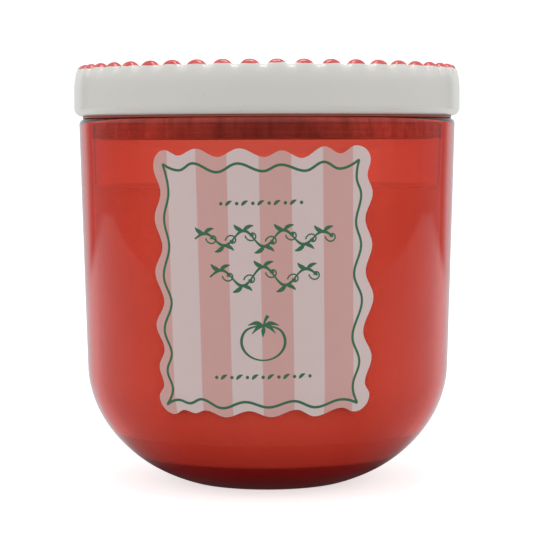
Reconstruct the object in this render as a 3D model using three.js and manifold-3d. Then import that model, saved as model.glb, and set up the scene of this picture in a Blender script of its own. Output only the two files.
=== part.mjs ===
// A poured candle in a round glass jar, with a paper label on the front and a ceramic lid.
// Millimetres, +Z up. The origin is the centre of the foot that the jar stands on; the label faces -Y.
import * as THREE from 'three';
import { mergeVertices } from 'three/addons/utils/BufferGeometryUtils.js';
import Module from 'manifold-3d';

const wasm = await Module();
wasm.setup();

// Glass jar
const RIM_RADIUS = 49.7;          // outside of the mouth
const JAR_HEIGHT = 95.6;          // foot to the top of the rim
const WALL_DRAFT = 1.7;           // how far the wall leans in between the mouth and the knee
const KNEE_HEIGHT = 31;           // where the straight wall turns into the round bottom corner
const HEEL_DIP = 2.1;             // how far the corner's ellipse would run on below the foot
const FOOT_RADIUS = 22.3;
const FOOT_LAND = 2.3;            // width of the flat ring that the jar stands on
const PUNT_DEPTH = 1.3;           // hollow under the base, inside the foot
const PUNT_SLOPE = 1.6;           // width of the slope from the foot up into the hollow
const WALL = 3;
const FLOOR_HEIGHT = 9;           // top of the thick glass base

// Candle
const HEADSPACE = 17.6;           // rim down to the wax
const WAX_GAP = 0.3;              // wax to glass, where the wax has shrunk away
const WICK_COUNT = 3;
const WICK_RADIUS = 1.1;
const WICK_TRIM = 6.5;            // length of wick above the wax
const WICK_GAP = 0.3;             // wick to the bore of its tab and to the wax
const TAB_RADIUS = 10;
const TAB_MARGIN = 3.4;           // tab to the edge of the flat glass floor
const TAB_THICKNESS = 0.4;
const NECK_WALL = 0.6;            // metal round the wick
const NECK_HEIGHT = 6;
const STICKER_RADIUS = 9;
const STICKER_THICKNESS = 0.8;

// Lid and its seal
const LID_OVERHANG = 1.3;         // lid edge past the outside of the mouth
const LID_HEIGHT = 13.3;          // underside of the lid's edge to the top of the beads
const LID_EDGE_FILLET = 2.1;
const LID_SIDE = 5.5;             // height where the lid's side starts to round over
const SHOULDER_WIDTH = 2.6;       // how far the round-over reaches in
const BEAD_RISE = 1.3;            // bead tops above the dips between them
const RIM_DROP = 1.4;             // flat top of the lid below the dips between the beads
const RIM_SLOPE = 3.2;            // width of the slope from the beads down to the flat top
const BEAD_PITCH = 6.6;
const BEAD_START = 0.87;           // first bead, in bead pitches round from +X
const BEAD_RADIAL = 2.2;          // half sizes of a bead
const BEAD_ALONG = 2.75;
const BEAD_UP = 2.9;
const PLUG_DEPTH = 6.2;           // ring under the lid that drops into the jar
const PLUG_WALL = 3.4;
const LID_PLATE = 5.6;            // thickness of the lid's top
const SEAL_GAP = 0.3;             // seal to the lid's plug, and to the glass
const SEAL_WALL = 1.6;            // sleeve and ribs together
const SEAL_RIB = 0.6;             // how far each rib stands out of the sleeve
const SEAL_FLANGE = 0.5;          // thickness of the seal between the rim and the lid
const SEAL_LIP = 0.6;             // how far the flange passes the middle of the rim
const SEAL_SHORT = 0.4;           // sleeve ends above the end of the plug

// Labels
const LABEL_WIDTH = 56.4;         // round the glass
const LABEL_DROP = 7.3;           // top of the rim down to the label
const LABEL_LIFT = 22.3;          // foot up to the label
const LABEL_SHIFT = -1.1;         // round the glass, from the middle of the front
const LABEL_TILT = 0.9;           // degrees
const LABEL_THICKNESS = 0.2;
const LABEL_GAP = 0.15;           // label to glass
const LABEL_LOBES = 4;            // waves along each edge, between the corner lobes
const LABEL_WAVE = 2.1;           // depth of the waves
const CORNER_SPAN = 8.3;          // corner to the nearest dip
const CORNER_LOBE = 4;            // radius of the corner lobes
const BASE_LABEL_MARGIN = 1.2;    // round the label under the base
const BASE_LABEL_THICKNESS = 0.2;

const CONTACT = 0.05;             // between pieces that rest on each other
const SEGMENTS = 60;              // facets round the large turned pieces
const SMALL_SEGMENTS = 20;        // facets round the wicks and their tabs

// Sizes that follow from the ones above
const kneeRadius = RIM_RADIUS - WALL_DRAFT;
const rimCentreRadius = RIM_RADIUS - WALL / 2;
const rimCentreHeight = JAR_HEIGHT - WALL / 2;
const heelDrop = KNEE_HEIGHT + HEEL_DIP;
const footShare = Math.sqrt(1 - (KNEE_HEIGHT / heelDrop) ** 2);
const cornerCentre = (FOOT_RADIUS - kneeRadius * footShare) / (1 - footShare);
const puntEdge = FOOT_RADIUS - FOOT_LAND;
const puntRadius = puntEdge - PUNT_SLOPE;
const waxTop = JAR_HEIGHT - HEADSPACE;
const floorRadius = cornerCurve(WALL, FLOOR_HEIGHT, 1)[0].x;
const wickCircle = floorRadius - TAB_MARGIN - TAB_RADIUS;
const tabHeight = FLOOR_HEIGHT + STICKER_THICKNESS + 2 * CONTACT;
const tabBore = WICK_RADIUS + WICK_GAP;
const neckRadius = tabBore + NECK_WALL;
const lidSeat = JAR_HEIGHT + SEAL_FLANGE + 2 * CONTACT;
const lidRadius = RIM_RADIUS + LID_OVERHANG;
const dipHeight = LID_HEIGHT - BEAD_RISE;
const plateTop = dipHeight - RIM_DROP;
const beadCircle = lidRadius - SHOULDER_WIDTH;
const sealOuter = wallRadius(lidSeat - PLUG_DEPTH) - WALL - SEAL_GAP;
const sealInner = sealOuter - SEAL_WALL;
const plugRadius = sealInner - SEAL_GAP;
const labelHeight = JAR_HEIGHT - LABEL_DROP - LABEL_LIFT;
const labelCentre = LABEL_LIFT + labelHeight / 2;

// Outside radius of the jar at a height above the foot.
function wallRadius(height) {
  if (height < KNEE_HEIGHT) {
    const drop = (KNEE_HEIGHT - height) / heelDrop;
    return cornerCentre + (kneeRadius - cornerCentre) * Math.sqrt(1 - drop * drop);
  }
  return kneeRadius + (WALL_DRAFT * (height - KNEE_HEIGHT)) / (rimCentreHeight - KNEE_HEIGHT);
}

// The round bottom corner, set in from the outside of the glass, from a height up to the knee.
function cornerCurve(inset, fromHeight, steps) {
  const across = kneeRadius - cornerCentre - inset;
  const down = heelDrop - inset;
  const start = -Math.asin((KNEE_HEIGHT - fromHeight) / down);
  return new THREE.EllipseCurve(cornerCentre, KNEE_HEIGHT, across, down, start, 0).getPoints(steps);
}

function point(radius, height) {
  return new THREE.Vector2(radius, height);
}

// A closed solid turned round the Z axis from an outline of (radius, height) points.
function turned(outline, segments = SEGMENTS) {
  return new THREE.LatheGeometry(outline, segments).rotateX(Math.PI / 2);
}

function toManifold(geometry) {
  const bare = geometry.clone();
  bare.deleteAttribute('normal');
  bare.deleteAttribute('uv');
  const merged = mergeVertices(bare, 1e-4);
  const corners = merged.index.array;
  const kept = [];
  for (let i = 0; i < corners.length; i += 3) {
    const [a, b, c] = [corners[i], corners[i + 1], corners[i + 2]];
    if (a !== b && b !== c && c !== a) {
      kept.push(a, b, c);
    }
  }
  const vertProperties = new Float32Array(merged.attributes.position.array);
  return new wasm.Manifold(new wasm.Mesh({ numProp: 3, vertProperties, triVerts: new Uint32Array(kept) }));
}

function fromManifold(solid) {
  const mesh = solid.getMesh();
  const geometry = new THREE.BufferGeometry();
  geometry.setAttribute('position', new THREE.BufferAttribute(mesh.vertProperties, 3));
  geometry.setIndex(new THREE.BufferAttribute(mesh.triVerts, 1));
  geometry.computeVertexNormals();
  return geometry;
}

function piece(name, geometry, color, roughness, metalness = 0) {
  const material = new THREE.MeshStandardMaterial({ color, roughness, metalness });
  const mesh = new THREE.Mesh(geometry, material);
  mesh.name = name;
  return mesh;
}

function jarGeometry() {
  const rim = new THREE.EllipseCurve(rimCentreRadius, rimCentreHeight, WALL / 2, WALL / 2, 0, Math.PI);
  const inside = cornerCurve(WALL, FLOOR_HEIGHT, 7).reverse();
  return turned([
    point(0, PUNT_DEPTH),
    point(puntRadius, PUNT_DEPTH),
    point(puntEdge, 0),
    ...cornerCurve(0, 0, 10),
    ...rim.getPoints(6),
    ...inside,
    point(0, FLOOR_HEIGHT),
  ]);
}

// Room in the wax for one sticker, tab and wick, open at the floor and at the top.
function wickPocket() {
  const tabTop = tabHeight + TAB_THICKNESS + WICK_GAP;
  const neckTop = tabHeight + NECK_HEIGHT + WICK_GAP;
  return turned([
    point(0, FLOOR_HEIGHT - 1),
    point(TAB_RADIUS + WICK_GAP, FLOOR_HEIGHT - 1),
    point(TAB_RADIUS + WICK_GAP, tabTop),
    point(neckRadius + WICK_GAP, tabTop),
    point(neckRadius + WICK_GAP, neckTop),
    point(tabBore, neckTop),
    point(tabBore, waxTop + 1),
    point(0, waxTop + 1),
  ], SMALL_SEGMENTS);
}

function wickPlace(index) {
  const angle = Math.PI / 2 + (index * 2 * Math.PI) / WICK_COUNT;
  return new THREE.Vector3(wickCircle * Math.cos(angle), wickCircle * Math.sin(angle), 0);
}

function waxGeometry() {
  const inset = WALL + WAX_GAP;
  const bottom = FLOOR_HEIGHT + WAX_GAP;
  let wax = toManifold(turned([
    point(0, bottom),
    ...cornerCurve(inset, bottom, 7),
    point(wallRadius(waxTop) - inset, waxTop),
    point(0, waxTop),
  ]));
  for (let i = 0; i < WICK_COUNT; i++) {
    const place = wickPlace(i);
    wax = wax.subtract(toManifold(wickPocket().translate(place.x, place.y, 0)));
  }
  return fromManifold(wax);
}

function wickGeometry() {
  const bottom = tabHeight + CONTACT;
  const top = waxTop + WICK_TRIM;
  return turned([point(0, bottom), point(WICK_RADIUS, bottom), point(WICK_RADIUS, top), point(0, top)], 12);
}

function wickTabGeometry() {
  const discTop = tabHeight + TAB_THICKNESS;
  const neckTop = tabHeight + NECK_HEIGHT;
  const outline = [
    point(tabBore, tabHeight),
    point(TAB_RADIUS, tabHeight),
    point(TAB_RADIUS, discTop),
    point(neckRadius, discTop),
    point(neckRadius, neckTop),
    point(tabBore, neckTop),
  ];
  return turned([...outline, outline[0]], SMALL_SEGMENTS);
}

function discGeometry(radius, bottom, thickness, segments) {
  const top = bottom + thickness;
  return turned([point(0, bottom), point(radius, bottom), point(radius, top), point(0, top)], segments);
}

// Heights in the lid and the seal are above the underside of the lid's edge.
function lidGeometry() {
  const fillet = new THREE.EllipseCurve(
    lidRadius - LID_EDGE_FILLET, LID_EDGE_FILLET, LID_EDGE_FILLET, LID_EDGE_FILLET, -Math.PI / 2, 0);
  const shoulder = new THREE.EllipseCurve(
    lidRadius - SHOULDER_WIDTH, LID_SIDE, SHOULDER_WIDTH, dipHeight - LID_SIDE, 0, Math.PI / 2);
  const cavityTop = plateTop - LID_PLATE;
  let lid = toManifold(turned([
    point(0, cavityTop),
    point(plugRadius - PLUG_WALL, cavityTop),
    point(plugRadius - PLUG_WALL, -PLUG_DEPTH),
    point(plugRadius, -PLUG_DEPTH),
    point(plugRadius, 0),
    ...fillet.getPoints(4),
    ...shoulder.getPoints(5),
    point(lidRadius - SHOULDER_WIDTH - RIM_SLOPE, plateTop),
    point(0, plateTop),
  ]));
  const count = Math.round((2 * Math.PI * beadCircle) / BEAD_PITCH);
  for (let i = 0; i < count; i++) {
    const bead = new THREE.SphereGeometry(1, 8, 5).rotateX(Math.PI / 2);
    bead.scale(BEAD_RADIAL, BEAD_ALONG, BEAD_UP).translate(beadCircle, 0, LID_HEIGHT - BEAD_UP);
    lid = lid.add(toManifold(bead.rotateZ(((i + BEAD_START) * 2 * Math.PI) / count)));
  }
  return fromManifold(lid);
}

function sealGeometry() {
  const sleeve = sealOuter - SEAL_RIB;
  const bottom = -PLUG_DEPTH + SEAL_SHORT;
  const under = -CONTACT - SEAL_FLANGE;
  const ribStep = (under - bottom) / 4;
  const outline = [
    point(sealInner, bottom),
    point(sleeve, bottom),
    point(sealOuter, bottom + ribStep),
    point(sleeve, bottom + 2 * ribStep),
    point(sealOuter - SEAL_RIB / 3, bottom + 3 * ribStep),
    point(sleeve, under),
    point(rimCentreRadius + SEAL_LIP, under),
    point(rimCentreRadius + SEAL_LIP, -CONTACT),
    point(sealInner, -CONTACT),
  ];
  return turned([...outline, outline[0]]);
}

// The label's wavy edge, laid flat: four sides of lobes and dips with a round lobe at each corner.
function labelOutline() {
  const points = [];
  const origin = point(0, 0);
  for (let side = 0; side < 4; side++) {
    const half = (side % 2 ? labelHeight : LABEL_WIDTH) / 2;
    const edge = -(side % 2 ? LABEL_WIDTH : labelHeight) / 2;
    const reach = half - CORNER_SPAN;
    const row = [];
    for (let i = 0; i <= 2 * LABEL_LOBES; i++) {
      row.push(point(reach * (i / LABEL_LOBES - 1), i % 2 ? edge : edge + LABEL_WAVE));
    }
    for (let i = 0; i <= 2; i++) {
      const angle = ((i - 2) * Math.PI) / 4;
      row.push(point(
        half - CORNER_LOBE + CORNER_LOBE * Math.cos(angle),
        edge + CORNER_LOBE + CORNER_LOBE * Math.sin(angle)));
    }
    row.forEach((p) => points.push(p.rotateAround(origin, (side * Math.PI) / 2)));
  }
  const curve = new THREE.CatmullRomCurve3(points.map((p) => new THREE.Vector3(p.x, p.y, 0)), true);
  return curve.getPoints(3 * points.length).slice(0, -1);
}

// A thin skin that follows the jar's wall, cut to the label's outline as seen from the front.
function labelGeometry() {
  const low = LABEL_LIFT - LABEL_WAVE;
  const high = LABEL_LIFT + labelHeight + LABEL_WAVE;
  const heights = [high];
  for (let height = KNEE_HEIGHT; height > low; height -= 2) {
    heights.push(height);
  }
  heights.push(low);
  const inner = heights.map((height) => point(wallRadius(height) + LABEL_GAP, height));
  const outer = inner.map((p) => point(p.x + LABEL_THICKNESS, p.y)).reverse();
  const skin = turned([...inner, ...outer, inner[0]], 2 * SEGMENTS);

  const radius = wallRadius(labelCentre);
  const tilt = THREE.MathUtils.degToRad(LABEL_TILT);
  const outline = labelOutline().map((p) => {
    const flat = point(p.x, p.y).rotateAround(point(0, 0), tilt);
    return point(radius * Math.sin((flat.x + LABEL_SHIFT) / radius), flat.y + labelCentre);
  });
  const cutter = new THREE.ExtrudeGeometry(new THREE.Shape(outline), {
    depth: 2 * RIM_RADIUS,
    bevelEnabled: false,
  }).rotateX(Math.PI / 2);
  return fromManifold(toManifold(skin).intersect(toManifold(cutter)));
}

function wickAssembly(index) {
  const number = index + 1;
  const group = new THREE.Group();
  group.position.copy(wickPlace(index));
  group.add(
    piece(`wick_sticker_${number}`,
      discGeometry(STICKER_RADIUS, FLOOR_HEIGHT + CONTACT, STICKER_THICKNESS, SMALL_SEGMENTS), 0xe9e6dc, 0.7),
    piece(`wick_tab_${number}`, wickTabGeometry(), 0xc8c9cb, 0.3, 1),
    piece(`wick_${number}`, wickGeometry(), 0xf0ead8, 0.9),
  );
  return group;
}

function jarGroup() {
  const baseLabelRadius = puntRadius - BASE_LABEL_MARGIN;
  const baseLabelBottom = PUNT_DEPTH - CONTACT - BASE_LABEL_THICKNESS;
  const group = new THREE.Group();
  group.add(
    piece('glass_jar', jarGeometry(), 0xb43c32, 0.08),
    piece('front_label', labelGeometry(), 0xe6c8c8, 0.75),
    piece('base_label', discGeometry(baseLabelRadius, baseLabelBottom, BASE_LABEL_THICKNESS, 32), 0xf2f0ec, 0.8),
  );
  return group;
}

function candleGroup() {
  const group = new THREE.Group();
  group.add(piece('wax_fill', waxGeometry(), 0xf1e3d0, 0.55));
  for (let i = 0; i < WICK_COUNT; i++) {
    group.add(wickAssembly(i));
  }
  return group;
}

function lidGroup() {
  const group = new THREE.Group();
  group.position.z = lidSeat;
  group.add(
    piece('lid', lidGeometry(), 0xe6e4de, 0.2),
    piece('lid_seal_ring', sealGeometry(), 0xd9dbd8, 0.35),
  );
  return group;
}

const candleJar = new THREE.Group();
candleJar.add(jarGroup(), candleGroup(), lidGroup());

export default candleJar;
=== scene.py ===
# A poured candle in a red glass jar, with a striped paper label and a beaded ceramic lid.
# Metres, in the CAD model's frame: the jar stands on z = 0 and its label faces -Y.
import math
import random

import bmesh
import bpy
from mathutils import Matrix, Vector


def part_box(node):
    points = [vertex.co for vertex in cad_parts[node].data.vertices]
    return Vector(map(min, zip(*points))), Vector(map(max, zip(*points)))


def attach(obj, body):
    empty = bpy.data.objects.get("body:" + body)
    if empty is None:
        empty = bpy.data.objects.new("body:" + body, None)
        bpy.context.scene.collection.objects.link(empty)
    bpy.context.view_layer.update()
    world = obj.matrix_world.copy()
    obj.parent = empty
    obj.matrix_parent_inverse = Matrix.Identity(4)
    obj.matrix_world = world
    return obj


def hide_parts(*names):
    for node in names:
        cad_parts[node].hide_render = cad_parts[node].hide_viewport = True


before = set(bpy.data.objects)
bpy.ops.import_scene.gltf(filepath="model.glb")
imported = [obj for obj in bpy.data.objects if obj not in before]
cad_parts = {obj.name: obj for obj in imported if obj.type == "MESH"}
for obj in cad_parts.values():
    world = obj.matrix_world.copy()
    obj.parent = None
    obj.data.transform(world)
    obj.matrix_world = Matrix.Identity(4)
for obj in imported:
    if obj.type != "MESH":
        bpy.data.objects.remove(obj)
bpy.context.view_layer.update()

MM = 0.001


# ---------------------------------------------------------------- sizes, from the frame

def lowest(node):
    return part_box(node)[0]


def highest(node):
    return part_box(node)[1]


RIM_RADIUS = highest("glass_jar").x
JAR_HEIGHT = highest("glass_jar").z
WAX_TOP = highest("wax_fill").z
LID_RADIUS = highest("lid").x
LID_TOP = highest("lid").z
PLUG_BOTTOM = lowest("lid").z
SEAL_TOP = highest("lid_seal_ring").z
SEAL_BOTTOM = lowest("lid_seal_ring").z
SEAL_LIP = highest("lid_seal_ring").x

# Glass
WALL_DRAFT = 1.7 * MM
KNEE_HEIGHT = 31 * MM
HEEL_DIP = 2.1 * MM
FOOT_RADIUS = 22.3 * MM
FOOT_LAND = 2.3 * MM
PUNT_DEPTH = 1.3 * MM
PUNT_SLOPE = 1.6 * MM
WALL = 3 * MM
WAX_GAP = 0.3 * MM
FLOOR_HEIGHT = 9 * MM

# Lid
LID_SEAT = SEAL_TOP + 0.05 * MM
EDGE_FILLET = 2.1 * MM
LID_SIDE = 5.5 * MM
SHOULDER_WIDTH = 2.6 * MM
BEAD_RISE = 1.3 * MM
BEAD_DEPTH = 4.0 * MM
BEAD_SLOPE = 3.2 * MM
BEAD_PITCH = 6.6 * MM
BEAD_START = 0.87
BEAD_HALF = 0.345
BEAD_SQUARENESS = 2.6
DIP_FLATNESS = 2.2
DIP_SOFTNESS = 0.7
DIP_FADE = 1.4
PLATE_DROP = 1.4 * MM
PLUG_WALL = 3.4 * MM
LID_PLATE = 5.6 * MM
CAP_HEIGHT = 1.15 * MM

# Label, laid flat
LABEL_WIDTH = 56.4 * MM
LABEL_LOW = 22.3 * MM
LABEL_HIGH = JAR_HEIGHT - 7.3 * MM
LABEL_SHIFT = -1.1 * MM
LABEL_TILT = math.radians(0.9)
LABEL_PAPER = 0.14 * MM
LABEL_GLUE = 0.03 * MM
INK_RISE = 0.03 * MM
PUCKER_PLACE = (-15.0, -31.8)   # millimetres, where the label's lower edge lifts from the glass
PUCKER_REACH = 2.2 * MM
PUCKER_RISE = 0.2 * MM

STRIPE_PITCH = 15.42        # millimetres across one pink and one pale stripe
STRIPE_START = 46.69        # millimetres from a pink stripe's left edge to the label's middle

TURN_STEPS = 160
CREASE = math.radians(40)   # an edge over this angle is drawn sharp

knee_radius = RIM_RADIUS - WALL_DRAFT
rim_centre = Vector((RIM_RADIUS - WALL / 2, JAR_HEIGHT - WALL / 2))
heel_drop = KNEE_HEIGHT + HEEL_DIP
foot_share = math.sqrt(1 - (KNEE_HEIGHT / heel_drop) ** 2)
corner_centre = (FOOT_RADIUS - knee_radius * foot_share) / (1 - foot_share)
label_height = LABEL_HIGH - LABEL_LOW
label_centre = LABEL_LOW + label_height / 2
bead_circle = LID_RADIUS - SHOULDER_WIDTH
bead_count = round(math.tau * bead_circle / BEAD_PITCH)
bead_turn = math.tau / bead_count


def wall_radius(height):
    """Outside radius of the jar at a height."""
    if height < KNEE_HEIGHT:
        drop = min((KNEE_HEIGHT - height) / heel_drop, 1)
        return corner_centre + (knee_radius - corner_centre) * math.sqrt(1 - drop * drop)
    return knee_radius + WALL_DRAFT * (height - KNEE_HEIGHT) / (rim_centre.y - KNEE_HEIGHT)


# ---------------------------------------------------------------- mesh helpers

def arc(centre, across, up, start, end, steps):
    """Points on an ellipse in (radius, height), angles in degrees."""
    points = []
    for i in range(steps + 1):
        angle = math.radians(start + (end - start) * i / steps)
        points.append((centre[0] + across * math.cos(angle), centre[1] + up * math.sin(angle)))
    return points


def straight(start, end, step=5 * MM, edge=0.3 * MM):
    """Points along a straight wall, with one close to each end, so that its shading stays flat."""
    a, b = Vector(start), Vector(end)
    length = (b - a).length
    count = max(2, round(length / step))
    stops = [edge] + [length * i / count for i in range(1, count)] + [length - edge]
    return [tuple(a.lerp(b, stop / length)) for stop in stops if 0 < stop < length]


def corner_curve(inset, from_height, steps):
    """The jar's round bottom corner, set in from its outside, from a height up to the knee."""
    down = heel_drop - inset
    start = -math.degrees(math.asin((KNEE_HEIGHT - from_height) / down))
    return arc((corner_centre, KNEE_HEIGHT), knee_radius - corner_centre - inset, down, start, 0, steps)


def turned(outline, steps=TURN_STEPS, closed=False):
    """A bmesh turned round the Z axis from (radius, height) points. A closed outline makes a ring."""
    bm = bmesh.new()
    verts = [bm.verts.new((radius, 0, height)) for radius, height in outline]
    edges = [bm.edges.new(pair) for pair in zip(verts, verts[1:])]
    if closed:
        edges.append(bm.edges.new((verts[-1], verts[0])))
    bmesh.ops.spin(bm, geom=verts + edges, cent=(0, 0, 0), axis=(0, 0, 1), dvec=(0, 0, 0),
                   angle=math.tau, steps=steps, use_merge=True)
    bmesh.ops.remove_doubles(bm, verts=bm.verts, dist=1e-7)
    bmesh.ops.recalc_face_normals(bm, faces=bm.faces)
    return bm


def finished(name, bm, materials, nodes):
    """The object of a bmesh, smooth but for its creases. It rides on the jar and stands for CAD nodes."""
    for face in bm.faces:
        face.smooth = True
    for edge in bm.edges:
        edge.smooth = edge.calc_face_angle(0) < CREASE
    mesh = bpy.data.meshes.new(name)
    bm.to_mesh(mesh)
    bm.free()
    for material in materials:
        mesh.materials.append(material)
    piece = bpy.data.objects.new(name, mesh)
    bpy.context.collection.objects.link(piece)
    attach(piece, "root")
    if nodes:
        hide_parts(*nodes)
    return piece


# ---------------------------------------------------------------- material helpers

def blank_material(name):
    material = bpy.data.materials.new(name)
    material.use_nodes = True
    tree = material.node_tree
    tree.nodes.clear()
    out = tree.nodes.new("ShaderNodeOutputMaterial")
    shader = tree.nodes.new("ShaderNodeBsdfPrincipled")
    tree.links.new(shader.outputs["BSDF"], out.inputs["Surface"])
    return material, tree, shader, out


def put(tree, socket, value):
    """Sets a socket to a number or colour, or links it to another socket."""
    if isinstance(value, bpy.types.NodeSocket):
        tree.links.new(value, socket)
    elif isinstance(value, tuple) and len(value) == 3 and socket.type == "RGBA":
        socket.default_value = (*value, 1)
    else:
        socket.default_value = value


def math_node(tree, operation, a, b=None, c=None):
    node = tree.nodes.new("ShaderNodeMath")
    node.operation = operation
    for socket, value in zip(node.inputs, (a, b, c)):
        if value is not None:
            put(tree, socket, value)
    return node.outputs[0]


def map_range(tree, kind, value, low, high, to_low, to_high):
    node = tree.nodes.new("ShaderNodeMapRange")
    node.interpolation_type = kind
    for name, setting in (("Value", value), ("From Min", low), ("From Max", high),
                          ("To Min", to_low), ("To Max", to_high)):
        put(tree, node.inputs[name], setting)
    return node.outputs["Result"]


def smooth_step(tree, value, low, high, to_low=0.0, to_high=1.0):
    return map_range(tree, "SMOOTHSTEP", value, low, high, to_low, to_high)


def linear_step(tree, value, low, high, to_low, to_high):
    return map_range(tree, "LINEAR", value, low, high, to_low, to_high)


def mix_colour(tree, share, a, b):
    node = tree.nodes.new("ShaderNodeMix")
    node.data_type = "RGBA"
    put(tree, node.inputs["Factor"], share)
    put(tree, node.inputs[6], a)
    put(tree, node.inputs[7], b)
    return node.outputs[2]


def object_coordinates(tree, scale=(1, 1, 1)):
    place = tree.nodes.new("ShaderNodeTexCoord").outputs["Object"]
    if scale == (1, 1, 1):
        return place
    mapping = tree.nodes.new("ShaderNodeMapping")
    put(tree, mapping.inputs["Vector"], place)
    mapping.inputs["Scale"].default_value = scale
    return mapping.outputs["Vector"]


def axes(tree, vector):
    node = tree.nodes.new("ShaderNodeSeparateXYZ")
    put(tree, node.inputs[0], vector)
    return node.outputs


def from_axis(tree, x, y):
    """Distance from the jar's axis."""
    squares = math_node(tree, "ADD", math_node(tree, "MULTIPLY", x, x), math_node(tree, "MULTIPLY", y, y))
    return math_node(tree, "SQRT", squares)


def noise(tree, vector, scale, detail=2.0, roughness=0.5):
    node = tree.nodes.new("ShaderNodeTexNoise")
    put(tree, node.inputs["Vector"], vector)
    node.inputs["Scale"].default_value = scale
    node.inputs["Detail"].default_value = detail
    node.inputs["Roughness"].default_value = roughness
    return node.outputs["Fac"]


def specks(tree, vector, spacing, size, rarity):
    """1 inside small round specks: one in each cell of a scattered grid, where a noise lets it through."""
    node = tree.nodes.new("ShaderNodeTexVoronoi")
    put(tree, node.inputs["Vector"], vector)
    node.inputs["Scale"].default_value = 1 / spacing
    dot = smooth_step(tree, node.outputs["Distance"], size / spacing, 0.5 * size / spacing)
    chosen = smooth_step(tree, noise(tree, vector, 0.35 / spacing, 0), rarity, rarity + 0.02)
    return math_node(tree, "MULTIPLY", dot, chosen)


def bump(tree, shader, height, distance, strength=1.0):
    node = tree.nodes.new("ShaderNodeBump")
    node.inputs["Strength"].default_value = strength
    node.inputs["Distance"].default_value = distance
    put(tree, node.inputs["Height"], height)
    put(tree, shader.inputs["Normal"], node.outputs["Normal"])


# ---------------------------------------------------------------- materials

def red_glass():
    material, tree, shader, out = blank_material("red_glass")
    place = object_coordinates(tree)
    shader.inputs["Base Color"].default_value = (1, 1, 1, 1)
    shader.inputs["Transmission Weight"].default_value = 1
    haze = smooth_step(tree, noise(tree, place, 70, 3), 0.35, 0.75, 0.0, 0.035)
    put(tree, shader.inputs["Roughness"], haze)
    shader.inputs["IOR"].default_value = 1.5
    bump(tree, shader, noise(tree, place, 45, 1), 0.12 * MM, 0.25)
    tint = tree.nodes.new("ShaderNodeVolumeAbsorption")
    tint.inputs["Color"].default_value = (0.976, 0.30, 0.16, 1)
    tint.inputs["Density"].default_value = 500
    tree.links.new(tint.outputs["Volume"], out.inputs["Volume"])
    return material


def candle_wax():
    """Creamy wax, clouded and grained on its sides and glossier on top."""
    material, tree, shader, _ = blank_material("candle_wax")
    place = object_coordinates(tree)
    cloud = noise(tree, place, 55, 4)
    colour = mix_colour(tree, smooth_step(tree, cloud, 0.3, 0.7), (0.93, 0.885, 0.82), (0.985, 0.955, 0.90))
    put(tree, shader.inputs["Base Color"], colour)
    side = smooth_step(tree, axes(tree, place)["Z"], WAX_TOP - 0.6 * MM, WAX_TOP - 1.2 * MM)
    grain = smooth_step(tree, noise(tree, place, 240, 3), 0.3, 0.7, 0.16, 0.28)
    sheen = math_node(tree, "MULTIPLY_ADD", math_node(tree, "MULTIPLY", side, grain), 0.6, 0.09)
    put(tree, shader.inputs["Roughness"], sheen)
    bump(tree, shader, math_node(tree, "MULTIPLY", side, noise(tree, place, 300, 4)), 0.06 * MM, 0.2)
    return material


def lid_glaze():
    """Off-white glaze with a few pinholes, and bead tops dipped in red by hand."""
    material, tree, shader, _ = blank_material("lid_glaze")
    place = object_coordinates(tree)
    sway = math_node(tree, "SUBTRACT", noise(tree, place, 210, 1), 0.5)
    shake = math_node(tree, "SUBTRACT", noise(tree, place, 1500, 2), 0.5)
    wobble = math_node(tree, "ADD", math_node(tree, "MULTIPLY", sway, 0.9 * MM),
                       math_node(tree, "MULTIPLY", shake, 0.25 * MM))
    height = math_node(tree, "ADD", axes(tree, place)["Z"], wobble)
    dipped = smooth_step(tree, height, LID_TOP - CAP_HEIGHT - 0.05 * MM, LID_TOP - CAP_HEIGHT + 0.05 * MM)
    red = mix_colour(tree, noise(tree, place, 500, 2), (0.60, 0.055, 0.065), (0.80, 0.15, 0.14))
    white = mix_colour(tree, noise(tree, place, 60, 3), (0.785, 0.765, 0.715), (0.825, 0.805, 0.755))
    pinholes = specks(tree, place, 2.2 * MM, 0.16 * MM, 0.6)
    white = mix_colour(tree, math_node(tree, "MULTIPLY", pinholes, 0.5), white, (0.42, 0.36, 0.33))
    # Pinkish vertical streaks in a band just above the lid's lower edge.
    low_band = smooth_step(tree, axes(tree, place)["Z"], LID_SEAT + 2.4 * MM, LID_SEAT + 1.2 * MM)
    streaks = smooth_step(tree, noise(tree, object_coordinates(tree, (1, 1, 9)), 160, 4), 0.52, 0.75)
    white = mix_colour(tree, math_node(tree, "MULTIPLY", math_node(tree, "MULTIPLY", low_band, streaks), 0.35),
                       white, (0.78, 0.55, 0.50))
    put(tree, shader.inputs["Base Color"], mix_colour(tree, dipped, white, red))
    shader.inputs["Roughness"].default_value = 0.16
    shader.inputs["IOR"].default_value = 1.5
    surface = math_node(tree, "ADD", noise(tree, object_coordinates(tree, (1, 1, 0.35)), 420, 3),
                        math_node(tree, "MULTIPLY", pinholes, -0.8))
    surface = math_node(tree, "ADD", surface, math_node(tree, "MULTIPLY", dipped, 0.6))
    bump(tree, shader, surface, 0.09 * MM, 0.45)
    return material


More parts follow.
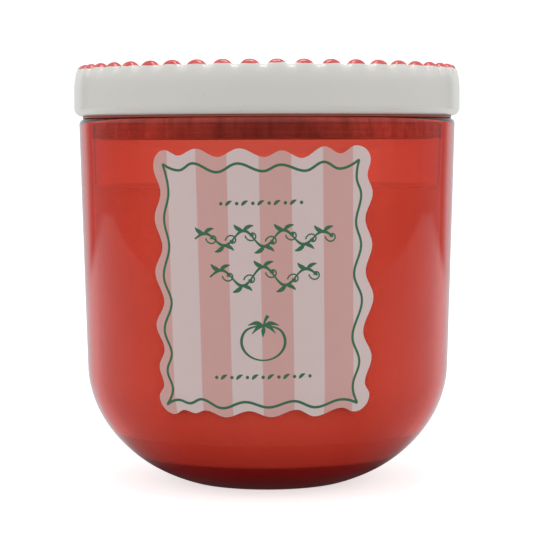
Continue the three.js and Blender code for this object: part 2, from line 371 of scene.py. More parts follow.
def seal_silicone():
    material, tree, shader, _ = blank_material("seal_silicone")
    place = object_coordinates(tree)
    mottle = smooth_step(tree, noise(tree, object_coordinates(tree, (1, 1, 0.3)), 330, 5, 0.65), 0.3, 0.7)
    # Paler where the seal turns away from the eye and darker where it faces it: a painted sheen.
    facing = tree.nodes.new("ShaderNodeLayerWeight")
    painted_sheen = smooth_step(tree, facing.outputs["Facing"], -0.05, 0.35)
    # The seal is dark grey, mottled, where it faces the eye.
    deep = mix_colour(tree, mottle, (0.11, 0.10, 0.12), (0.20, 0.18, 0.20))
    pale = mix_colour(tree, mottle, (0.42, 0.40, 0.43), (0.72, 0.68, 0.72))
    # Red light coming through the glass rim, painted as a reddish band at the top of the seal.
    painted_rim_glow = smooth_step(tree, axes(tree, place)["Z"], SEAL_TOP - 0.65 * MM, SEAL_TOP - 0.5 * MM)
    colour = mix_colour(tree, painted_rim_glow, mix_colour(tree, painted_sheen, deep, pale), (0.50, 0.12, 0.08))
    put(tree, shader.inputs["Base Color"], colour)
    shader.inputs["Roughness"].default_value = 0.32
    shader.inputs["IOR"].default_value = 1.41
    bump(tree, shader, noise(tree, place, 1200, 3), 0.05 * MM, 0.3)
    return material


def label_paper():
    """Pink and pale stripes printed on uncoated paper, which reads its own flat UV in millimetres."""
    material, tree, shader, _ = blank_material("label_paper")
    flat = tree.nodes.new("ShaderNodeUVMap")
    flat.uv_map = "flat"
    across = axes(tree, flat.outputs["UV"])["X"]
    stripe = math_node(tree, "DIVIDE", math_node(tree, "ADD", across, STRIPE_START), STRIPE_PITCH)
    stripe = math_node(tree, "FRACT", stripe)
    pale = math_node(tree, "SUBTRACT", smooth_step(tree, stripe, 0.496, 0.504),
                     smooth_step(tree, stripe, 0.996, 1.004))
    cloud = noise(tree, flat.outputs["UV"], 0.25, 3)
    pink = mix_colour(tree, cloud, (0.71, 0.395, 0.365), (0.735, 0.42, 0.39))
    light = mix_colour(tree, cloud, (0.755, 0.60, 0.585), (0.785, 0.63, 0.615))
    colour = mix_colour(tree, pale, pink, light)
    grain = noise(tree, flat.outputs["UV"], 5.5, 4, 0.7)
    colour = mix_colour(tree, smooth_step(tree, grain, 0.25, 0.8, 0.0, 0.10), colour, (0.60, 0.50, 0.48))
    put(tree, shader.inputs["Base Color"], colour)
    shader.inputs["Roughness"].default_value = 0.72
    shader.inputs["Specular IOR Level"].default_value = 0.3
    bump(tree, shader, grain, 0.02 * MM, 0.5)
    return material


def green_ink():
    material, tree, shader, _ = blank_material("green_ink")
    place = object_coordinates(tree)
    colour = mix_colour(tree, noise(tree, place, 1300, 3), (0.045, 0.165, 0.085), (0.062, 0.205, 0.11))
    put(tree, shader.inputs["Base Color"], colour)
    shader.inputs["Roughness"].default_value = 0.6
    shader.inputs["Specular IOR Level"].default_value = 0.3
    return material


def cotton_braid():
    material, tree, shader, _ = blank_material("cotton_braid")
    place = object_coordinates(tree, (1, 1, 0.4))
    fibre = noise(tree, place, 4200, 3)
    put(tree, shader.inputs["Base Color"], mix_colour(tree, fibre, (0.70, 0.64, 0.53), (0.90, 0.86, 0.77)))
    shader.inputs["Roughness"].default_value = 0.85
    bump(tree, shader, fibre, 0.08 * MM, 0.6)
    return material


def tinned_steel():
    material, tree, shader, _ = blank_material("tinned_steel")
    place = object_coordinates(tree)
    shader.inputs["Metallic"].default_value = 1
    put(tree, shader.inputs["Base Color"],
        mix_colour(tree, noise(tree, place, 400, 4), (0.58, 0.58, 0.59), (0.72, 0.72, 0.73)))
    put(tree, shader.inputs["Roughness"], smooth_step(tree, noise(tree, place, 900, 3), 0.2, 0.8, 0.22, 0.4))
    bump(tree, shader, noise(tree, object_coordinates(tree, (8, 1, 1)), 500, 2), 0.02 * MM, 0.3)
    return material


def foam_sticker():
    material, tree, shader, _ = blank_material("foam_sticker")
    place = object_coordinates(tree)
    cells = noise(tree, place, 3000, 2)
    put(tree, shader.inputs["Base Color"], mix_colour(tree, cells, (0.74, 0.72, 0.66), (0.88, 0.86, 0.81)))
    shader.inputs["Roughness"].default_value = 0.9
    bump(tree, shader, cells, 0.08 * MM, 0.6)
    return material


def base_paper():
    """White paper with two fine green rings near its edge."""
    material, tree, shader, _ = blank_material("base_paper")
    place = object_coordinates(tree)
    x, y, _ = axes(tree, place)
    radius = from_axis(tree, x, y)
    edge = highest("base_label").x
    rings = 0
    for inset, width in ((1.6 * MM, 0.35 * MM), (2.6 * MM, 0.15 * MM)):
        off = math_node(tree, "ABSOLUTE", math_node(tree, "SUBTRACT", radius, edge - inset))
        rings = math_node(tree, "ADD", rings, smooth_step(tree, off, width, 0.7 * width))
    grain = noise(tree, place, 2600, 4)
    paper = mix_colour(tree, grain, (0.80, 0.79, 0.75), (0.90, 0.89, 0.86))
    put(tree, shader.inputs["Base Color"], mix_colour(tree, rings, paper, (0.055, 0.19, 0.10)))
    shader.inputs["Roughness"].default_value = 0.8
    bump(tree, shader, grain, 0.03 * MM, 0.4)
    return material


# ---------------------------------------------------------------- jar, wax and seal

def make_jar(material):
    punt_edge = FOOT_RADIUS - FOOT_LAND
    inner_knee, inner_rim = (knee_radius - WALL, KNEE_HEIGHT), (rim_centre.x - WALL / 2, rim_centre.y)
    punt_flat = punt_edge - PUNT_SLOPE
    outline = [(0, PUNT_DEPTH), (punt_flat - 0.3 * MM, PUNT_DEPTH), (punt_flat, PUNT_DEPTH)]
    outline += [(punt_edge, 0), (FOOT_RADIUS - 0.2 * MM, 0)]
    outline += corner_curve(0, 0, 36)
    outline += straight((knee_radius, KNEE_HEIGHT), (RIM_RADIUS, rim_centre.y))
    outline += arc(rim_centre, WALL / 2, WALL / 2, 0, 180, 14)
    outline += straight(inner_rim, inner_knee)
    outline += corner_curve(WALL, FLOOR_HEIGHT, 28)[::-1]
    floor_edge = outline[-1][0]
    outline += [(floor_edge - 0.3 * MM, FLOOR_HEIGHT), (0, FLOOR_HEIGHT)]
    return finished("jar_glass", turned(outline), [material], ["glass_jar"])


def make_wax(material):
    """The poured wax, stuck to the glass floor, shrunk just off the wall and sunk a little at the wicks."""
    inset = WALL + WAX_GAP
    bite = 0.03 * MM
    bottom = FLOOR_HEIGHT - bite
    edge = wall_radius(WAX_TOP) - inset
    stuck_curve = corner_curve(WALL - bite, bottom, 28)
    free_curve = corner_curve(inset, bottom, 28)
    last_stuck, loosening = 6, 14   # in steps up the corner
    curve = []
    for i, (stuck, free) in enumerate(zip(stuck_curve, free_curve)):
        share = max(0, min(1, (i - last_stuck) / loosening))
        curve.append(tuple(Vector(stuck).lerp(Vector(free), share * share * (3 - 2 * share))))
    outline = [(0, bottom), (curve[0][0] - 0.3 * MM, bottom)] + curve
    round_off = 0.15 * MM
    outline += straight((knee_radius - inset, KNEE_HEIGHT), (edge, WAX_TOP - round_off))
    outline += arc((edge - round_off, WAX_TOP - round_off), round_off, round_off, 0, 90, 5)
    outline += [(edge - 0.4 * MM, WAX_TOP), (edge - 1 * MM, WAX_TOP)]
    rings = 22
    outline += [(edge * (1 - i / rings) * 0.88, WAX_TOP) for i in range(rings + 1)]
    bm = turned(outline)
    wicks = [sum(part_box(f"wick_{n}"), Vector()) / 2 for n in (1, 2, 3)]
    for vert in bm.verts:
        if vert.co.z < WAX_TOP - 0.01 * MM:
            continue
        for wick in wicks:
            away = (vert.co.xy - wick.xy).length
            vert.co.z -= 0.5 * MM * math.exp(-(away / (5 * MM)) ** 2)
    return finished("wax", bm, [material], ["wax_fill"])


def make_seal(material):
    """A soft ring with three faint ribs against the glass and a thin flange over the rim."""
    outside = wall_radius(SEAL_BOTTOM) - WALL + 0.02 * MM
    inside = outside - 1.9 * MM
    under = SEAL_TOP - 0.5 * MM
    reach = 0.12 * MM
    ribs = 3
    outline = [(inside, SEAL_BOTTOM), (outside - reach, SEAL_BOTTOM)]
    for i in range(ribs):
        low = SEAL_BOTTOM + (under - SEAL_BOTTOM) * (i + 0.08) / ribs
        high = SEAL_BOTTOM + (under - SEAL_BOTTOM) * (i + 0.92) / ribs
        outline += [(outside - reach + reach * math.sin(math.pi * t / 8) ** 0.7, low + (high - low) * t / 8)
                    for t in range(9)]
    outline += [(outside - 0.3 * MM, under), (SEAL_LIP - 0.1 * MM, under), (SEAL_LIP, under + 0.1 * MM),
                (SEAL_LIP, SEAL_TOP - 0.1 * MM), (SEAL_LIP - 0.1 * MM, SEAL_TOP), (inside, SEAL_TOP)]
    bm = turned(outline, closed=True)
    return finished("silicone_seal", bm, [material], ["lid_seal_ring"])


# ---------------------------------------------------------------- lid

def lid_outline():
    """Half section of the lid through the top of a bead."""
    plate = LID_TOP - BEAD_RISE - PLATE_DROP
    hollow = plate - LID_PLATE
    plug = wall_radius(PLUG_BOTTOM) - WALL - 2.2 * MM
    side = LID_SEAT + LID_SIDE
    outline = [(0, hollow), (plug - PLUG_WALL - 0.8 * MM, hollow), (plug - PLUG_WALL, hollow - 0.8 * MM)]
    outline += [(plug - PLUG_WALL, PLUG_BOTTOM + 0.6 * MM), (plug - PLUG_WALL + 0.6 * MM, PLUG_BOTTOM)]
    outline += [(plug - 0.6 * MM, PLUG_BOTTOM), (plug, PLUG_BOTTOM + 0.6 * MM), (plug, LID_SEAT)]
    outline += arc((LID_RADIUS - EDGE_FILLET, LID_SEAT + EDGE_FILLET), EDGE_FILLET, EDGE_FILLET, -90, 0, 12)
    outline += straight((LID_RADIUS, LID_SEAT + EDGE_FILLET), (LID_RADIUS, side), 1.5 * MM, 0.2 * MM)
    power = 2 / BEAD_SQUARENESS
    for i in range(31):
        lean = math.pi / 2 * i / 30
        outline.append((bead_circle + SHOULDER_WIDTH * max(0, math.cos(lean)) ** power,
                        side + (LID_TOP - side) * math.sin(lean) ** power))
    slope = 12
    for i in range(1, slope + 1):
        fall = 0.5 - 0.5 * math.cos(math.pi * i / slope)
        outline.append((bead_circle - BEAD_SLOPE * i / slope, LID_TOP - (LID_TOP - plate) * fall))
    outline += [(bead_circle - BEAD_SLOPE - 0.3 * MM, plate), (0, plate)]
    return outline


def press_dips(bm):
    """Presses the dips between the beads into the top of the turned lid, a little uneven, as if by hand."""
    hand = random.Random(11)
    nudges = [hand.uniform(-0.025, 0.025) for _ in range(bead_count)]
    depths = [hand.uniform(0.94, 1.04) for _ in range(bead_count)]
    plate = LID_TOP - BEAD_RISE - PLATE_DROP
    for vert in bm.verts:
        radius = vert.co.xy.length
        start = LID_TOP - BEAD_DEPTH if radius > bead_circle else plate
        if vert.co.z <= start + 1e-7 or radius <= bead_circle - BEAD_SLOPE:
            continue
        turns = math.atan2(vert.co.y, vert.co.x) / bead_turn - BEAD_START
        bead = round(turns)
        off = turns - bead - nudges[bead % bead_count]
        fall = 1 - (1 - min(1, abs(off) / BEAD_HALF) ** DIP_FLATNESS) ** DIP_SOFTNESS
        share = (vert.co.z - start) / (LID_TOP - start)
        vert.co.z -= BEAD_RISE * depths[bead % bead_count] * fall * share ** DIP_FADE


def make_lid(material):
    bm = turned(lid_outline(), steps=bead_count * 16)
    press_dips(bm)
    return finished("ceramic_lid", bm, [material], ["lid"])


# ---------------------------------------------------------------- label
# The label's drawing is in millimetres from its centre, laid flat and untilted. Each side of its edge and
# of its green line is a list of the highs and lows of a hand-cut wave, clockwise from the top left.

EDGE_WAVES = (
    ((-24.3, 32.6), (-20.5, 31.2), (-15.9, 32.8), (-10.4, 30.7), (-5.1, 32.7), (0.9, 30.5), (5.0, 32.0),
     (9.9, 30.1), (15.4, 32.8), (19.5, 31.0), (23.6, 32.9)),
    ((27.6, 29.4), (26.7, 25.7), (28.2, 21.2), (26.1, 14.9), (28.1, 8.5), (26.2, 1.9), (28.5, -4.4),
     (25.5, -12.9), (28.0, -19.3), (26.0, -25.6), (27.5, -28.8)),
    ((23.7, -32.7), (19.6, -31.4), (12.7, -33.2), (7.8, -31.3), (1.5, -33.0), (-4.2, -31.4), (-10.1, -33.0),
     (-15.4, -31.3), (-18.3, -32.1), (-21.3, -31.4), (-24.5, -32.6)),
    ((-28.3, -28.4), (-26.6, -25.2), (-27.8, -20.8), (-26.1, -16.4), (-28.3, -10.5), (-25.7, -4.6),
     (-28.1, 2.6), (-25.7, 8.9), (-27.7, 15.9), (-25.7, 22.3), (-27.6, 28.6)),
)
LINE_WAVES = (
    ((-20.3, 27.5), (-16.7, 29.4), (-10.6, 26.9), (-5.6, 29.2), (0.5, 27.0), (4.7, 28.7), (10.7, 26.9),
     (15.2, 29.2), (19.2, 27.2)),
    ((23.6, 25.1), (25.0, 20.9), (23.4, 14.1), (25.0, 8.6), (22.8, 1.4), (25.3, -5.0), (22.3, -14.0),
     (24.5, -20.1), (22.4, -26.2)),
    ((19.4, -29.2), (12.7, -31.0), (7.2, -29.0), (0.8, -30.6), (-5.0, -29.0), (-10.9, -30.8), (-16.2, -28.4),
     (-19.5, -29.7), (-22.6, -28.8)),
    ((-23.9, -26.2), (-25.5, -21.7), (-23.9, -17.4), (-26.0, -11.6), (-23.4, -4.8), (-25.7, 1.6),
     (-23.6, 9.1), (-25.0, 15.7), (-23.3, 22.3)),
)
LINE_TIPS = ((24.5, 29.6), (24.2, -30.7), (-26.4, -30.4), (-25.0, 29.4))


def wave(stations, along):
    """A wave that turns smoothly at each station. It runs along axis 0 or 1."""
    points = []
    for a, b in zip(stations, stations[1:]):
        for i in range(10):
            t = i / 10
            ease = 0.5 - 0.5 * math.cos(math.pi * t)
            share = (t, ease) if along == 0 else (ease, t)
            points.append(Vector([p + (q - p) * s for p, q, s in zip(a, b, share)]))
    points.append(Vector(stations[-1]))
    return points


def corner_arc(start, end, along):
    """A quarter ellipse from the end of one side to the start of the next."""
    points = []
    for i in range(1, 8):
        angle = math.pi / 2 * i / 8
        share = [1 - math.cos(angle), 1 - math.cos(angle)]
        share[along] = math.sin(angle)
        points.append(Vector([a + (b - a) * s for a, b, s in zip(start, end, share)]))
    return points


def label_edge():
    points = []
    for side in range(4):
        points += wave(EDGE_WAVES[side], side % 2)
        points += corner_arc(EDGE_WAVES[side][-1], EDGE_WAVES[(side + 1) % 4][0], side % 2)
    return points


def bezier(a, b, c, d, steps):
    """Points on a cubic curve, without its last one."""
    a, b, c, d = (Vector(p) for p in (a, b, c, d))
    points = []
    for i in range(steps):
        t = i / steps
        s = 1 - t
        points.append(a * s ** 3 + b * 3 * s * s * t + c * 3 * s * t * t + d * t ** 3)
    return points


def toward(start, tip, axis):
    """A point almost half way to the tip along one axis, and level with the start on the other."""
    spot = list(start)
    spot[axis] += (tip[axis] - start[axis]) * 0.45
    return spot


def green_line():
    points = []
    for side in range(4):
        points += wave(LINE_WAVES[side], side % 2)[:-1]
        low, tip, turn = LINE_WAVES[side][-1], LINE_TIPS[side], LINE_WAVES[(side + 1) % 4][0]
        out, back = toward(low, tip, side % 2), toward(turn, tip, 1 - side % 2)
        blunt = Vector(tip) * 0.99
        points += bezier(low, out, blunt, tip, 9) + bezier(tip, blunt, back, turn, 9)
    for _ in range(5):
        points = [(points[i - 1] + 2 * p + points[(i + 1) % len(points)]) / 4 for i, p in enumerate(points)]
    return points


def on_glass(point, rise):
    """A point of the flat label, in metres and tilted as it is stuck, put round the jar's wall."""
    stuck = Matrix.Rotation(LABEL_TILT, 2) @ Vector(point)
    height = stuck.y + label_centre
    angle = (stuck.x + LABEL_SHIFT) / wall_radius(label_centre)
    pucker = (Vector(point) - Vector(PUCKER_PLACE) * MM).length / PUCKER_REACH
    radius = wall_radius(height) + LABEL_GLUE + rise + PUCKER_RISE * math.exp(-pucker * pucker)
    return Vector((radius * math.sin(angle), -radius * math.cos(angle), height))


def make_label(paper, core):
    bm = bmesh.new()
    bm.faces.new([bm.verts.new((p.x * MM, p.y * MM, 0)) for p in label_edge()])
    for axis, reach, step in ((0, LABEL_WIDTH / 2, 1.1 * MM), (1, label_height / 2, 1.5 * MM)):
        cuts = int(reach / step)
        for i in range(-cuts, cuts + 1):
            spot = Vector((0, 0, 0))
            spot[axis] = i * step
            across = Vector((0, 0, 0))
            across[axis] = 1
            bmesh.ops.bisect_plane(bm, geom=bm.verts[:] + bm.edges[:] + bm.faces[:], dist=1e-8,
                                   plane_co=spot, plane_no=across)
    flat = bm.loops.layers.uv.new("flat")
    for face in bm.faces:
        for loop in face.loops:
            loop[flat].uv = (loop.vert.co.x / MM, loop.vert.co.y / MM)
    for vert in bm.verts:
        vert.co = on_glass(vert.co.xy, LABEL_PAPER)
    bmesh.ops.recalc_face_normals(bm, faces=bm.faces)
    if sum(face.normal.y for face in bm.faces) > 0:
        bmesh.ops.reverse_faces(bm, faces=bm.faces)
    bmesh.ops.solidify(bm, geom=bm.faces[:], thickness=LABEL_PAPER)
    for face in bm.faces:
        centre = face.calc_center_median()
        facing = face.normal.dot(Vector((centre.x, centre.y, 0)).normalized())
        face.material_index = 0 if facing > 0.5 else 1
    return finished("paper_label", bm, [paper, core], ["front_label"])


# How far each leaf of the tomato's crown reaches, how far it sags, and how it bows
TOMATO_LEAVES = ((-3.9, 0.2, 0.9), (-2.9, -1.9, 0.5), (-0.3, -2.7, -0.5), (2.8, -1.8, 0.6), (3.7, 0.1, 0.8))


def tomato_strokes():
    """A plain tomato: a round outline heavier on its sides, a five-leaved crown and a short stalk."""
    strokes = []
    middle, wide, tall = Vector((-0.2, -14.3)), 5.35, 4.55
    outline = []
    for i in range(73):
        angle = math.tau * i / 72
        dent = 0.55 * math.exp(-((math.sin(angle) - 1) * 4) ** 2)
        spot = middle + Vector((wide * math.cos(angle), tall * math.sin(angle) - dent))
        outline.append((spot, 0.19 + 0.15 * math.cos(angle) ** 2))
    strokes.append(outline)
    crown = middle + Vector((0.2, tall - 0.7))
    for reach, sag, lean in TOMATO_LEAVES:
        tip = crown + Vector((reach, sag))
        bow = crown + Vector((reach * 0.45, sag * 0.3 + lean))
        blade = bezier(crown, bow, bow, tip, 14) + [tip]
        strokes.append([(p, 0.09 + 0.42 * math.sin(math.pi * (i / 14) ** 0.8)) for i, p in enumerate(blade)])
    top = crown + Vector((1.1, 2.5))
    stalk = bezier(crown, crown + Vector((0.2, 1.1)), crown + Vector((0.4, 1.7)), top, 8) + [top]
    strokes.append([(p, 0.24 + 0.22 * (i / 8) ** 2) for i, p in enumerate(stalk)])
    return strokes


def dot(spot, size):
    """A round dot: a short stroke as wide as it is long."""
    steps = 10
    stroke = []
    for i in range(steps + 1):
        angle = math.pi * i / steps
        stroke.append((Vector(spot) + Vector((size * math.cos(angle), 0)), size * math.sin(angle) + 0.01))
    return stroke


def leaf(start, tip, fullness):
    """A pointed leaf."""
    start, tip = Vector(start), Vector(tip)
    side = Vector((-(tip - start).y, (tip - start).x)) * 0.16
    points = bezier(start, start.lerp(tip, 0.3) + side, start.lerp(tip, 0.7) + side, tip, 12) + [tip]
    return [(p, 0.10 + fullness * math.sin(math.pi * (i / 12) ** 0.85)) for i, p in enumerate(points)]


def vine_strokes(left, right, height, swing, bends):
    """A waving garden vine with a pair of leaves and a curled tendril at each bend."""
    strokes = []
    length = right - left
    steps = bends * 16
    stem = []
    for i in range(steps + 1):
        t = i / steps
        rise = swing * math.sin(math.pi * bends * t) * (0.55 + 0.45 * math.sin(math.pi * t))
        width = 0.21 + 0.18 * math.sin(math.pi * bends * t) ** 2
        stem.append((Vector((left + length * t, height + rise)), width))
    strokes.append(stem)
    for bend in range(bends):
        t = (bend + 0.5) / bends
        up = 1 if bend % 2 == 0 else -1
        top = Vector((left + length * t, height + up * swing * (0.55 + 0.45 * math.sin(math.pi * t))))
        strokes.append(leaf(top, top + Vector((-2.3, up * 1.5)), 0.42))
        strokes.append(leaf(top, top + Vector((2.4, up * 1.2)), 0.36))
        root = top + Vector((0.2 * length / bends, -up * swing * 0.5))
        curl = []
        for i in range(26):
            angle = i * 0.27
            reach = 1.7 * math.exp(-angle * 0.22)
            coil = Vector((1.1 - reach * math.cos(angle), -up * (reach * math.sin(angle) + 0.2)))
            curl.append((root + coil, 0.18))
        strokes.append(curl)
        strokes.append(dot(root + Vector((1.15, up * -0.1)), 0.36))
    return strokes


def bead_row(left, right, height, count):
    """A row of dots and short slanted leaves in turn."""
    strokes = []
    for i in range(count):
        x = left + (right - left) * i / (count - 1)
        if i % 2:
            strokes.append(leaf((x - 0.75, height - 0.55), (x + 0.75, height + 0.6), 0.3))
        else:
            strokes.append(dot((x, height), 0.42))
    return strokes


def make_ink(material):
    """Every printed green line and drawing, as one thin layer of ink."""
    border = green_line()
    strokes = [[(p, 0.32) for p in border + border[:1]]]
    strokes += bead_row(-9.8, 9.6, 19.4, 11)
    strokes += vine_strokes(-16.6, 17.4, 10.9, 2.0, 7)
    strokes += vine_strokes(-13.0, 13.4, 1.6, 2.4, 5)
    strokes += tomato_strokes()
    strokes += bead_row(-12.0, 11.2, -23.0, 13)
    curve = bpy.data.curves.new("label_drawing", "CURVE")
    curve.dimensions = "3D"
    curve.bevel_depth = 1
    curve.bevel_resolution = 1
    curve.use_fill_caps = True
    for stroke in strokes:
        spline = curve.splines.new("POLY")
        spline.points.add(len(stroke) - 1)
        for point, (spot, width) in zip(spline.points, stroke):
            point.co = (spot.x, spot.y, 0, 1)
            point.radius = width
    pen = bpy.data.objects.new("label_drawing", curve)
    bm = bmesh.new()
    bm.from_mesh(pen.to_mesh())
    bpy.data.objects.remove(pen)
    bpy.data.curves.remove(curve)
    for vert in bm.verts:
        vert.co = on_glass(vert.co.xy * MM, LABEL_PAPER + INK_RISE * (0.5 + vert.co.z))
    bmesh.ops.remove_doubles(bm, verts=bm.verts, dist=1e-9)
    bmesh.ops.recalc_face_normals(bm, faces=bm.faces)
    return finished("label_ink", bm, [material], [])


# ---------------------------------------------------------------- wicks and what holds them

def make_wick(number, material):
    """Three plied strands of cotton, cut off square."""
    low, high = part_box(f"wick_{number}")
    centre = (low + high) / 2
    radius = (high.x - low.x) / 2
    steps = 96
    twist = 0.20    # radians in each step
    ply = 0.20      # depth of the grooves between the strands, as a share of the radius
    rise = (high.z - low.z) / steps
    bm = bmesh.new()
    ring = bmesh.ops.create_circle(bm, cap_ends=False, segments=18, radius=radius)["verts"]
    for vert in ring:
        angle = math.atan2(vert.co.y, vert.co.x)
        vert.co.xy *= 1 - ply + ply * abs(math.cos(1.5 * angle))
    bmesh.ops.translate(bm, verts=ring, vec=(centre.x, centre.y, low.z))
    edges = bm.edges[:]
    bmesh.ops.contextual_create(bm, geom=edges)
    axis = Vector((centre.x, centre.y, 0))
    for _ in range(steps):
        grown = bmesh.ops.extrude_edge_only(bm, edges=edges)["geom"]
        edges = [g for g in grown if isinstance(g, bmesh.types.BMEdge)]
        ring = [g for g in grown if isinstance(g, bmesh.types.BMVert)]
        bmesh.ops.translate(bm, verts=ring, vec=(0, 0, rise))
        bmesh.ops.rotate(bm, verts=ring, cent=axis, matrix=Matrix.Rotation(twist, 3, "Z"))
    bmesh.ops.contextual_create(bm, geom=edges)
    bmesh.ops.recalc_face_normals(bm, faces=bm.faces)
    return finished(f"braided_wick_{number}", bm, [material], [f"wick_{number}"])


def moved(bm, spot):
    bmesh.ops.translate(bm, verts=bm.verts, vec=(spot.x, spot.y, 0))
    return bm


def make_tab(number, material):
    """A pressed steel disc with a rolled edge and a crimped neck round the wick."""
    low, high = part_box(f"wick_tab_{number}")
    radius = (high.x - low.x) / 2
    neck, bore, thick = 2.0 * MM, 1.4 * MM, 0.4 * MM
    outline = [(bore, low.z), (radius - 0.2 * MM, low.z)]
    outline += arc((radius - 0.2 * MM, low.z + thick / 2), 0.2 * MM, thick / 2, -90, 90, 6)[1:]
    outline += [(neck + 2.6 * MM, low.z + thick), (neck + 2.4 * MM, low.z + thick)]
    outline += arc((neck + 0.8 * MM, low.z + thick + 0.8 * MM), 0.8 * MM, 0.8 * MM, -90, -180, 6)
    crimp = neck - 0.25 * MM
    outline += [(neck, high.z - 2.6 * MM), (crimp, high.z - 2.1 * MM), (crimp, high.z - 1.3 * MM)]
    outline += [(neck, high.z - 0.8 * MM), (neck, high.z - 0.1 * MM)]
    outline += [(neck - 0.1 * MM, high.z), (bore, high.z)]
    bm = moved(turned(outline, steps=48, closed=True), (low + high) / 2)
    return finished(f"pressed_tab_{number}", bm, [material], [f"wick_tab_{number}"])


def make_sticker(number, material):
    low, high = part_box(f"wick_sticker_{number}")
    radius = (high.x - low.x) / 2
    soft = 0.15 * MM
    outline = [(0, low.z), (radius - soft, low.z), (radius, low.z + soft), (radius, high.z - soft)]
    outline += [(radius - soft, high.z), (radius - 1 * MM, high.z), (0, high.z)]
    bm = moved(turned(outline, steps=48), (low + high) / 2)
    return finished(f"foam_disc_{number}", bm, [material], [f"wick_sticker_{number}"])


def make_base_label(material):
    low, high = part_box("base_label")
    radius = high.x
    edge = 0.05 * MM
    outline = [(0, low.z), (radius - edge, low.z), (radius, low.z + edge), (radius, high.z - edge)]
    outline += [(radius - edge, high.z), (0, high.z)]
    return finished("base_sticker", turned(outline, steps=96), [material], ["base_label"])


# ---------------------------------------------------------------- studio

# Distances are in metres and azimuths in degrees from the front. Up to the horizon stand the cards that show
# straight through the glass, and above it hang the ones that fill the jar with light.
HORIZON = 0.45
SCREEN = 1.96
FAR_WALL = 2.0
TABLE_REACH = 1.95

# Name, first and last azimuth, and strength of each card that shows straight through the glass
CLEAR_CARDS = (
    ("front_card", -85, 85, 1.1),
    ("left_card", -133, -85, 0.50),
    ("right_card", 85, 133, 0.50),
    ("left_gap", -135.5, -133, 0.01),
    ("right_gap", 133, 135.5, 0.01),
    ("back_card", 135.5, 224.5, 0.63),
)

# A long lens in front of the label, which looks down a little
EYE_PLACE = (-0.24 * MM, -0.5202, 0.0900)
EYE_DOWN = math.radians(3.72)
EYE_LEAN = math.radians(-0.17)
EYE_LENS = 131.8


def glowing(name, colour=(1, 1, 1)):
    """A surface that only glows, its tree, and the socket for how strongly it does."""
    material, tree, shader, out = blank_material(name)
    tree.nodes.remove(shader)
    glow = tree.nodes.new("ShaderNodeEmission")
    glow.inputs["Color"].default_value = (*colour, 1)
    tree.links.new(glow.outputs[0], out.inputs["Surface"])
    return material, tree, glow.inputs["Strength"]


def emitting(name, strength):
    material, tree, socket = glowing(name)
    put(tree, socket, strength)
    return material


def studio_piece(name, bm, material, *rays):
    """A studio surface that only some kinds of ray meet."""
    mesh = bpy.data.meshes.new(name)
    bm.to_mesh(mesh)
    bm.free()
    mesh.materials.append(material)
    piece = bpy.data.objects.new(name, mesh)
    bpy.context.collection.objects.link(piece)
    for ray in ("camera", "diffuse", "glossy", "transmission", "shadow"):
        setattr(piece, "visible_" + ray, ray in rays)
    return piece


def studio_card(name, start, end, bottom, top, distance, material, *rays):
    """A curved card round the jar, from one azimuth to another."""
    bm = bmesh.new()
    foot = bm.verts.new((0, -distance, bottom))
    head = bm.verts.new((0, -distance, top))
    edge = bm.edges.new((foot, head))
    turn = Matrix.Rotation(math.radians(start), 3, "Z")
    bmesh.ops.rotate(bm, verts=[foot, head], cent=(0, 0, 0), matrix=turn)
    bmesh.ops.spin(bm, geom=[foot, head, edge], cent=(0, 0, 0), axis=(0, 0, 1), dvec=(0, 0, 0),
                   angle=math.radians(end - start), steps=72, use_merge=False)
    return studio_piece(name, bm, material, *rays)


def studio_disc(name, radius, height, material, *rays):
    bm = bmesh.new()
    bmesh.ops.create_circle(bm, cap_ends=True, segments=96, radius=radius)
    bmesh.ops.translate(bm, verts=bm.verts, vec=(0, 0, height))
    return studio_piece(name, bm, material, *rays)


def pale_floor():
    material, _, shader, _ = blank_material("pale_floor")
    shader.inputs["Base Color"].default_value = (0.85, 0.85, 0.85, 1)
    shader.inputs["Roughness"].default_value = 0.9
    shader.inputs["Specular IOR Level"].default_value = 0
    shader.inputs["Emission Color"].default_value = (1, 1, 1, 1)
    shader.inputs["Emission Strength"].default_value = 0.66
    return material


def azimuth(tree, x, y):
    """Degrees from the front, the same on both sides."""
    turn = math_node(tree, "ARCTAN2", math_node(tree, "ABSOLUTE", x), math_node(tree, "MULTIPLY", y, -1.0))
    return math_node(tree, "MULTIPLY", turn, 180 / math.pi)


def blended(tree, share, a, b):
    """The value a where the share is 0, and b where it is 1."""
    return math_node(tree, "ADD", math_node(tree, "MULTIPLY", share, b),
                     math_node(tree, "MULTIPLY", math_node(tree, "SUBTRACT", 1.0, share), a))


def table_glow(tree, x, y, side):
    """The table's glow: it fades towards the front and to the sides, and into the shade under the jar."""
    dimmest, brightest = 0.04, 0.92
    shade_start, shade_end = 0.028, 0.052
    slope = math_node(tree, "DIVIDE", math_node(tree, "MULTIPLY", y, 0.74),
                      math_node(tree, "ADD", side, 0.03))
    glow = math_node(tree, "ADD", slope, math_node(tree, "MULTIPLY_ADD", side, -0.25, 0.50))
    glow = math_node(tree, "MULTIPLY", math_node(tree, "MINIMUM", glow, brightest),
                     linear_step(tree, from_axis(tree, x, y), shade_start, shade_end, 0.0, 1.0))
    return math_node(tree, "MAXIMUM", glow, dimmest)


def wall_glow(tree, x, y):
    """The walls' glow by azimuth: dim at the sides, with a pale wall behind."""
    turn = azimuth(tree, x, y)
    corner = smooth_step(tree, turn, 130.5, 133.5, 1.0, 0.5)
    dim = math_node(tree, "MULTIPLY", linear_step(tree, turn, 88, 125, 0.04, 0.30), corner)
    return blended(tree, smooth_step(tree, turn, 134, 148), dim, 0.82)


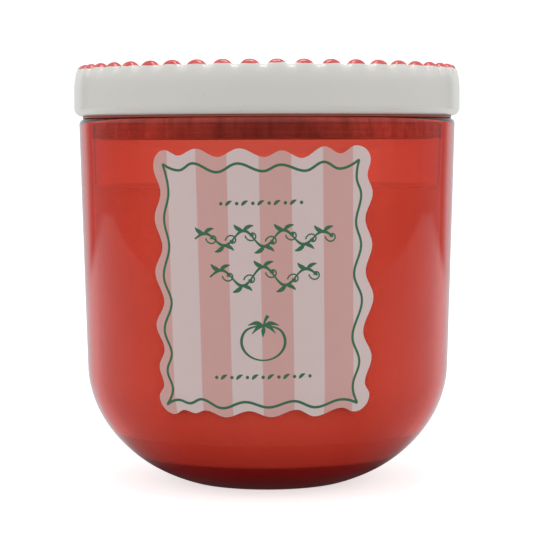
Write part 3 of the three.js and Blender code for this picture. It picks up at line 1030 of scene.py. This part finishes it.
def room():
    """What shines back off the glass: a pale table, shaded close to the jar and at the front, in a dim room
    with a pale wall behind."""
    material, tree, strength = glowing("room", (0.92, 0.97, 1))
    x, y, _ = axes(tree, object_coordinates(tree))
    side = math_node(tree, "ABSOLUTE", x)
    slanted = smooth_step(tree, math_node(tree, "SUBTRACT", side, y), 0.69, 0.75)
    past_table = math_node(tree, "MAXIMUM", slanted, smooth_step(tree, y, 0.45, 0.65))
    past_table = math_node(tree, "MAXIMUM", past_table, smooth_step(tree, side, 0.98, 1.08))
    glow = blended(tree, past_table, table_glow(tree, x, y, side), wall_glow(tree, x, y))
    put(tree, strength, glow)
    return material


def clear_table():
    """The table as seen through the glass: darker under the jar, a little brighter at the front."""
    material, tree, strength = glowing("clear_table")
    x, y, _ = axes(tree, object_coordinates(tree))
    shade = linear_step(tree, from_axis(tree, x, y), 0.024, 0.055, 0.12, 0.66)
    front = linear_step(tree, y, -0.04, -0.25, 0.0, 0.25)
    put(tree, strength, math_node(tree, "ADD", shade, front))
    return material


def studio():
    """A white floor and wall for the camera, and others that only light, reflections or glass meet."""
    world = bpy.data.worlds.new("studio_white")
    bpy.context.scene.world = world
    world.use_nodes = True
    sky = world.node_tree.nodes["Background"]
    sky.inputs["Color"].default_value = (1, 1, 1, 1)
    sky.inputs["Strength"].default_value = 0.58
    studio_disc("studio_floor", 2.5, -0.02 * MM, pale_floor(), "camera")
    studio_card("studio_wall", 0, 360, -0.1, 4.0, 2.45, emitting("studio_wall", 1.3), "camera")
    shiny = room()
    studio_disc("shiny_table", 1.99, -0.5 * MM, shiny, "glossy")
    studio_card("shiny_wall", 0, 360, -0.01, 0.42, 1.98, shiny, "glossy")
    studio_disc("fill_table", TABLE_REACH, -1.2 * MM, emitting("fill_table", 0.68), "diffuse")
    for name, start, end in (("left_fill", -135, -45), ("right_fill", 45, 135)):
        studio_card(name, start, end, HORIZON, 1.8, FAR_WALL, emitting(name, 1.35), "diffuse")
    studio_disc("clear_table", TABLE_REACH, -1.3 * MM, clear_table(), "transmission")
    studio_card("clear_fill", -90, 90, HORIZON, 3.0, FAR_WALL, emitting("clear_fill", 1.6), "transmission")
    for name, start, end, strength in CLEAR_CARDS:
        studio_card(name, start, end, -0.3, HORIZON, SCREEN, emitting(name, strength), "transmission")
    every_ray_but_camera = ("diffuse", "glossy", "transmission", "shadow")
    studio_disc("top_light", 0.35, 1.3, emitting("top_light", 6), *every_ray_but_camera)
    bpy.context.scene.view_settings.view_transform = "Standard"


def camera():
    data = bpy.data.cameras.new("camera")
    data.sensor_width = 36
    data.lens = EYE_LENS
    data.clip_start = 0.01
    eye = bpy.data.objects.new("camera", data)
    eye.location = EYE_PLACE
    level = math.pi / 2
    aim = Matrix.Rotation(level - EYE_DOWN, 3, "X") @ Matrix.Rotation(EYE_LEAN, 3, "Z")
    eye.rotation_euler = aim.to_euler()
    bpy.context.collection.objects.link(eye)
    bpy.context.scene.camera = eye


camera()
studio()
make_jar(red_glass())
make_wax(candle_wax())
make_seal(seal_silicone())
make_lid(lid_glaze())
paper = label_paper()
white_paper = base_paper()
make_label(paper, white_paper)
make_ink(green_ink())
make_base_label(white_paper)
cotton, steel, foam = cotton_braid(), tinned_steel(), foam_sticker()
for number in (1, 2, 3):
    make_wick(number, cotton)
    make_tab(number, steel)
    make_sticker(number, foam)
